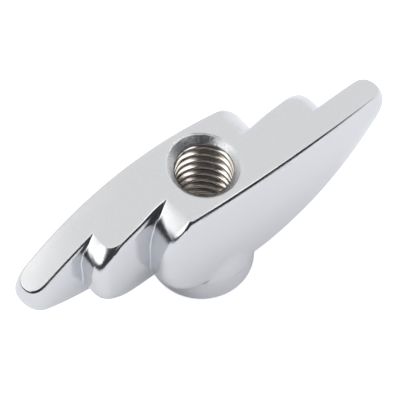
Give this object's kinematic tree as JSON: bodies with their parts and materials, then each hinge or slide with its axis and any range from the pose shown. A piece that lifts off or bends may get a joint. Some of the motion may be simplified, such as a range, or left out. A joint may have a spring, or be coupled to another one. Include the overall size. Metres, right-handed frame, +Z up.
{
  "type": "wing nut",
  "caption": "Wing nut with stepped feather-shaped wings and a threaded through bore in a short round boss, for clamping by hand on a threaded stud.",
  "frame": {"origin": "centre of the bore in the boss's bearing face, the lowest plane of the part", "axes": "+Z up along the bore from the bearing face to the top of the wings; X along the wings from tip to tip; Y across them"},
  "size_m": [0.0494, 0.0144, 0.0202],
  "materials": {
    "plated_casting": "bright plated die casting, slightly satin from the casting under it",
    "steel_thread": "cut steel thread, warm grey, lightly oiled"
  },
  "bodies": {
    "root": {"wing_body": "plated_casting", "threaded_insert": "steel_thread"}
  },
  "joints": []
}
